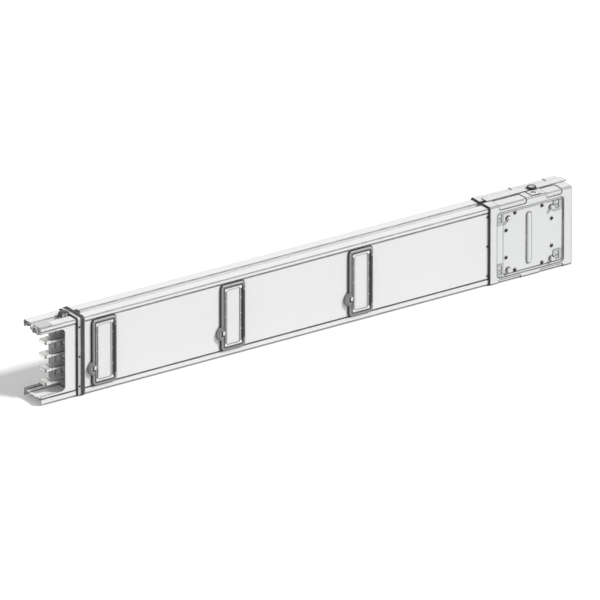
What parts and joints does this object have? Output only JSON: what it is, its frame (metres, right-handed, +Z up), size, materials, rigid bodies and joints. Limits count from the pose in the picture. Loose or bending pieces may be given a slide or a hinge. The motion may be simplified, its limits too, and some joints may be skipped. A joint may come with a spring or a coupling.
{
  "type": "busway section",
  "caption": "Straight flat busway section with a grooved casing, stacked conductors at an open end, hinged tap-off outlets on both sides and a bolted joint block.",
  "frame": {"origin": "on the floor under the middle of the part", "axes": "+X along the length from the open end to the joint block, +Z up, the front side faces -Y"},
  "size_m": [1.152, 0.07, 0.1575],
  "materials": {
    "casing_paint": "satin off-white paint on folded steel",
    "clip_moulding": "grey moulding, matt",
    "collar_moulding": "grey moulding, matt",
    "door_moulding": "white moulding, matt",
    "joint_paint": "satin off-white paint on pressed steel",
    "key_moulding": "light grey moulding, matt",
    "latch_moulding": "dark moulding, matt",
    "outlet_moulding": "grey moulding, matt",
    "plated_contact": "silver-plated, satin",
    "rivet_steel": "steel rivets",
    "seal_rubber": "matt black rubber",
    "socket_moulding": "glass-filled moulding, matt",
    "support_moulding": "glass-filled moulding, matt",
    "tinned_conductor": "tin-plated, satin",
    "zinc_screw": "zinc-plated steel"
  },
  "bodies": {
    "section": {"top_profile": "casing_paint", "bottom_channel": "casing_paint", "front_side_sheet": "casing_paint", "back_side_sheet": "casing_paint", "conductor_1": "tinned_conductor", "conductor_2": "tinned_conductor", "conductor_3": "tinned_conductor", "conductor_4": "tinned_conductor", "conductor_support_1": "support_moulding", "conductor_support_2": "support_moulding", "conductor_support_3": "support_moulding", "conductor_support_4": "support_moulding", "collar_seal": "seal_rubber", "end_collar": "collar_moulding", "collar_rivets": "rivet_steel", "groove_latch": "latch_moulding", "coding_key": "key_moulding", "outlet_socket_1": "socket_moulding", "outlet_socket_2": "socket_moulding", "outlet_socket_3": "socket_moulding", "front_outlet_seal_1": "seal_rubber", "front_outlet_seal_2": "seal_rubber", "front_outlet_seal_3": "seal_rubber", "back_outlet_seal_1": "seal_rubber", "back_outlet_seal_2": "seal_rubber", "back_outlet_seal_3": "seal_rubber", "front_outlet_frame_1": "outlet_moulding", "front_outlet_frame_2": "outlet_moulding", "front_outlet_frame_3": "outlet_moulding", "back_outlet_frame_1": "outlet_moulding", "back_outlet_frame_2": "outlet_moulding", "back_outlet_frame_3": "outlet_moulding", "joint_seal": "seal_rubber", "joint_rivets": "rivet_steel", "joint_insulator": "support_moulding", "bridge_tongue": "joint_paint", "captive_screw": "zinc_screw", "locating_plate": "joint_paint", "joint_contact_1": "plated_contact", "joint_contact_2": "plated_contact", "joint_contact_3": "plated_contact", "joint_contact_4": "plated_contact", "front_joint_frame": "joint_paint", "back_joint_frame": "joint_paint", "front_joint_plate": "joint_paint", "back_joint_plate": "joint_paint", "front_joint_screws": "zinc_screw", "back_joint_screws": "zinc_screw", "front_corner_clips": "clip_moulding", "back_corner_clips": "clip_moulding"},
    "front_door_1": {"front_outlet_door_1": "door_moulding"},
    "front_door_2": {"front_outlet_door_2": "door_moulding"},
    "front_door_3": {"front_outlet_door_3": "door_moulding"},
    "back_door_1": {"back_outlet_door_1": "door_moulding"},
    "back_door_2": {"back_outlet_door_2": "door_moulding"},
    "back_door_3": {"back_outlet_door_3": "door_moulding"}
  },
  "joints": [
    {"name": "front_door_1_hinge", "type": "hinge", "parent": "section", "child": "front_door_1", "pos_m": [-0.4152, -0.031, 0.0766], "axis": [0, 0, 1], "range_deg": [0, 110]},
    {"name": "front_door_2_hinge", "type": "hinge", "parent": "section", "child": "front_door_2", "pos_m": [-0.1402, -0.031, 0.0766], "axis": [0, 0, 1], "range_deg": [0, 110]},
    {"name": "front_door_3_hinge", "type": "hinge", "parent": "section", "child": "front_door_3", "pos_m": [0.1348, -0.031, 0.0766], "axis": [0, 0, 1], "range_deg": [0, 110]},
    {"name": "back_door_1_hinge", "type": "hinge", "parent": "section", "child": "back_door_1", "pos_m": [-0.4588, 0.031, 0.0766], "axis": [0, 0, 1], "range_deg": [0, 110]},
    {"name": "back_door_2_hinge", "type": "hinge", "parent": "section", "child": "back_door_2", "pos_m": [-0.1838, 0.031, 0.0766], "axis": [0, 0, 1], "range_deg": [0, 110]},
    {"name": "back_door_3_hinge", "type": "hinge", "parent": "section", "child": "back_door_3", "pos_m": [0.0912, 0.031, 0.0766], "axis": [0, 0, 1], "range_deg": [0, 110]}
  ]
}
